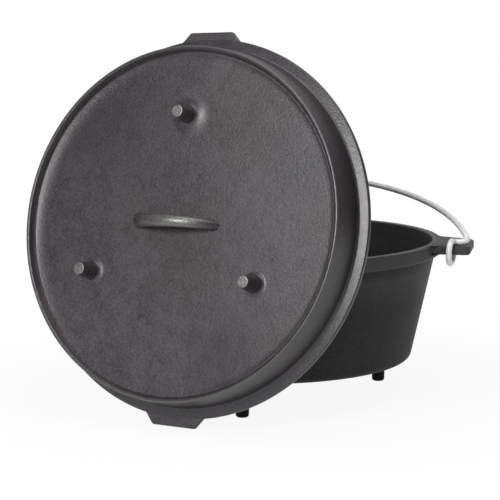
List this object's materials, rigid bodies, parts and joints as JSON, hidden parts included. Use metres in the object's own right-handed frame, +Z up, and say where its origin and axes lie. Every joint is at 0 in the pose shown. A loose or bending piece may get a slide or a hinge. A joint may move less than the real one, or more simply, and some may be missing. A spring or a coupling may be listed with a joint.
{
  "type": "camp dutch oven",
  "caption": "Cast-iron camp dutch oven: a footed pot with side ears, a flanged lid with a coal rim, feet and a loop handle propped against it, and a wire bail hooked through the ears.",
  "frame": {"origin": "on the ground, under the pot's axis", "axes": "+Z up along the pot's axis; the ears and the bail's pivot lie along X; the propped lid is in front, at -Y, and the bail lies back towards +Y"},
  "size_m": [0.433, 0.4195, 0.376],
  "materials": {
    "pot_iron": "seasoned, matte black, as cast",
    "lid_iron": "seasoned, matte dark grey, as cast",
    "bail_wire": "bright zinc-plated wire"
  },
  "bodies": {
    "pot": {"pot": "pot_iron"},
    "lid": {"lid": "lid_iron"},
    "bail": {"bail": "bail_wire"}
  },
  "joints": [
    {"name": "bail_swing", "type": "hinge", "parent": "pot", "child": "bail", "pos_m": [0, -0.02969, 0.15369], "axis": [1, 0, 0], "range_deg": [0, 86]},
    {"name": "lid_lift", "type": "slide", "parent": "pot", "child": "lid", "axis": [-0.2953, -0.9252, 0.2385], "range_m": [0, 0.15]}
  ]
}
